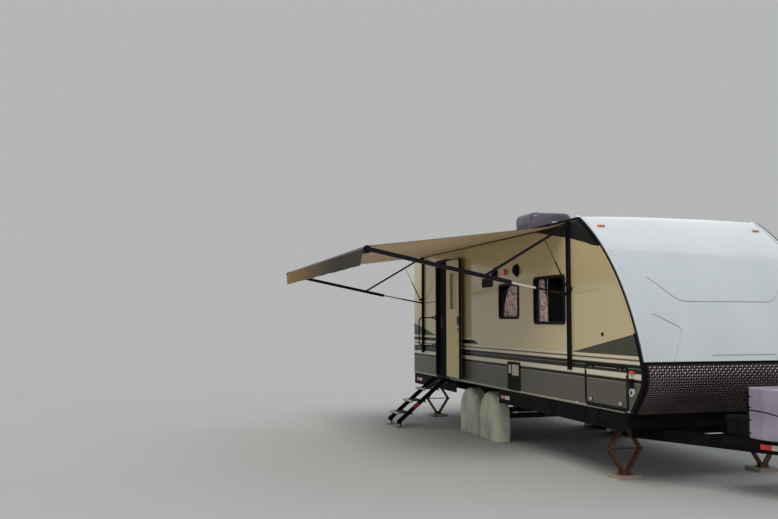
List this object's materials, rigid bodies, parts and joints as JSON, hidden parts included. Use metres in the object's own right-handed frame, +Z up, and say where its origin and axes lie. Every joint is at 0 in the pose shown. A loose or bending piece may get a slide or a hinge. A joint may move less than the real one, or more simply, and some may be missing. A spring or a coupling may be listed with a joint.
{
  "type": "travel trailer with awning",
  "caption": "Boxy touring trailer with a raked curved nose, fold-out awning, entry door with screen and folding stair, tandem wheels, drawbar with jack and coupler, and roof cooler.",
  "frame": {"origin": "on the ground under the tongue jack, at the flat underside of the jack's foot, on the centreline", "axes": "+X forward towards the coupler, +Y to the left (road side), +Z up"},
  "size_m": [9.054, 4.9959, 3.4],
  "materials": {
    "champagne_panel": "gloss, laminated fibreglass wall panel",
    "white_gelcoat": "high gloss moulded fibreglass",
    "diamond_plate": "dark coated tread plate",
    "roof_membrane": "matt white membrane",
    "floor_board": "laminated board",
    "black_moulding": "satin black",
    "dark_glass": "tinted safety glass",
    "curtain_cloth": "woven, speckled",
    "cream_panel": "satin laminated door panel",
    "black_steel": "satin black enamel",
    "screen_mesh": "dark mesh and frame",
    "door_fittings": "moulded black",
    "hood_plastic": "moulded, pale grey",
    "battery_plastic": "textured black",
    "zinc_steel": "zinc plated",
    "grey_steel": "dark grey enamel",
    "cover_cloth": "coated ivory cloth",
    "tyre_rubber": "matt",
    "wheel_steel": "silver enamel",
    "awning_aluminium": "black coated extrusion",
    "awning_cloth": "woven vinyl, tan",
    "shroud_plastic": "textured dark shroud",
    "vent_plastic": "white moulded",
    "lamp_plastic": "clear amber and red lenses",
    "fitting_plastic": "black moulded",
    "pad_wood": "weathered softwood",
    "rusty_steel": "worn enamel with rust"
  },
  "bodies": {
    "trailer": {"sidewall_kerb": "champagne_panel", "sidewall_road": "champagne_panel", "front_cap": "white_gelcoat", "stone_guard": "diamond_plate", "roof": "roof_membrane", "rear_wall": "champagne_panel", "floor": "floor_board", "body_mouldings": "black_moulding", "window_frames": "black_moulding", "window_glass": "dark_glass", "curtains": "curtain_cloth", "door_frame": "black_moulding", "grab_brackets": "black_steel", "stair_mount": "black_steel", "hatch_frames": "black_moulding", "wall_vents": "fitting_plastic", "chassis": "black_steel", "skirts": "black_steel", "a_frame": "black_steel", "stores_tray": "black_steel", "coupler": "black_steel", "tongue_jack": "zinc_steel", "gas_hood": "hood_plastic", "battery_box": "battery_plastic", "axles": "grey_steel", "leaf_springs": "grey_steel", "wheel_covers": "cover_cloth", "awning_channels": "awning_aluminium", "canopy": "awning_cloth", "air_conditioner": "shroud_plastic", "roof_vents": "vent_plastic", "fittings": "fitting_plastic", "lamps": "lamp_plastic", "scissor_jacks": "rusty_steel", "ground_boards": "pad_wood"},
    "entry_door_leaf": {"entry_door": "cream_panel", "door_window": "dark_glass", "door_hardware": "door_fittings"},
    "screen": {"screen_door": "screen_mesh"},
    "grab": {"grab_handle": "black_steel"},
    "stair": {"entry_stair": "black_steel"},
    "luggage_door_kerb": {"luggage_door_kerb": "champagne_panel"},
    "luggage_door_road": {"luggage_door_road": "champagne_panel"},
    "awning_upper": {"upper_arms": "awning_aluminium"},
    "awning_main": {"main_arms": "awning_aluminium", "roller": "awning_cloth", "valance": "awning_cloth"},
    "awning_lower": {"lower_links": "awning_aluminium"},
    "strut_tube": {"strut_cylinders": "black_steel"},
    "strut_ram": {"strut_rods": "zinc_steel"},
    "wheel_kerb_front": {"tyre_kerb_front": "tyre_rubber", "rim_kerb_front": "wheel_steel"},
    "wheel_kerb_rear": {"tyre_kerb_rear": "tyre_rubber", "rim_kerb_rear": "wheel_steel"},
    "wheel_road_front": {"tyre_road_front": "tyre_rubber", "rim_road_front": "wheel_steel"},
    "wheel_road_rear": {"tyre_road_rear": "tyre_rubber", "rim_road_rear": "wheel_steel"}
  },
  "joints": [
    {"name": "entry_door_hinge", "type": "hinge", "parent": "trailer", "child": "entry_door_leaf", "pos_m": [-6.676, -1.248, 1.75], "axis": [0, 0, -1], "range_deg": [0, 178]},
    {"name": "screen_hinge", "type": "hinge", "parent": "trailer", "child": "screen", "pos_m": [-6.753, -1.182, 1.75], "axis": [0, 0, -1], "range_deg": [-88, 0]},
    {"name": "grab_swing", "type": "hinge", "parent": "trailer", "child": "grab", "pos_m": [-7.44, -1.262, 1.5375], "axis": [0, 0, 1], "range_deg": [0, 86]},
    {"name": "stair_fold", "type": "hinge", "parent": "trailer", "child": "stair", "pos_m": [-7.065, -1.29, 0.745], "axis": [1, 0, 0], "range_deg": [-123, 0]},
    {"name": "luggage_hinge_kerb", "type": "hinge", "parent": "trailer", "child": "luggage_door_kerb", "pos_m": [-1.7625, -1.232, 1.225], "axis": [-1, 0, 0], "range_deg": [0, 115]},
    {"name": "luggage_hinge_road", "type": "hinge", "parent": "trailer", "child": "luggage_door_road", "pos_m": [-1.7625, 1.232, 1.225], "axis": [1, 0, 0], "range_deg": [0, 115]},
    {"name": "wheel_spin_kerb_front", "type": "hinge", "parent": "trailer", "child": "wheel_kerb_front", "pos_m": [-5.15, -1.085, 0.335], "axis": [0, 1, 0], "continuous": true},
    {"name": "wheel_spin_kerb_rear", "type": "hinge", "parent": "trailer", "child": "wheel_kerb_rear", "pos_m": [-5.97, -1.085, 0.335], "axis": [0, 1, 0], "continuous": true},
    {"name": "wheel_spin_road_front", "type": "hinge", "parent": "trailer", "child": "wheel_road_front", "pos_m": [-5.15, 1.085, 0.335], "axis": [0, 1, 0], "continuous": true},
    {"name": "wheel_spin_road_rear", "type": "hinge", "parent": "trailer", "child": "wheel_road_rear", "pos_m": [-5.97, 1.085, 0.335], "axis": [0, 1, 0], "continuous": true},
    {"name": "awning_fold", "type": "hinge", "parent": "trailer", "child": "awning_upper", "pos_m": [-5.323, -1.275, 2.84], "axis": [1, 0, 0], "range_deg": [0, 59.57], "deforming": ["canopy", "valance"]},
    {"name": "awning_elbow", "type": "hinge", "parent": "awning_upper", "child": "awning_main", "pos_m": [-5.323, -2.305, 2.235], "axis": [1, 0, 0], "range_deg": [-138.17, 0]},
    {"name": "awning_lower_hinge", "type": "hinge", "parent": "trailer", "child": "awning_lower", "pos_m": [-5.323, -1.275, 2.04], "axis": [1, 0, 0], "range_deg": [0, 100.47]},
    {"name": "strut_tilt", "type": "hinge", "parent": "trailer", "child": "strut_tube", "pos_m": [-5.323, -1.275, 2.1], "axis": [1, 0, 0], "range_deg": [-26.51, 0]},
    {"name": "strut_slide", "type": "slide", "parent": "strut_tube", "child": "strut_ram", "axis": [0, -0.4449, 0.8956], "range_m": [-0.23064, 0]}
  ],
  "couplings": [
    {"joint": "awning_elbow", "follows": "awning_fold", "ratio": -2.3178},
    {"joint": "awning_lower_hinge", "follows": "awning_fold", "ratio": 1.6848},
    {"joint": "strut_tilt", "follows": "awning_fold", "ratio": -0.4434},
    {"joint": "strut_slide", "follows": "awning_fold", "m_per_rad": -0.22087}
  ]
}
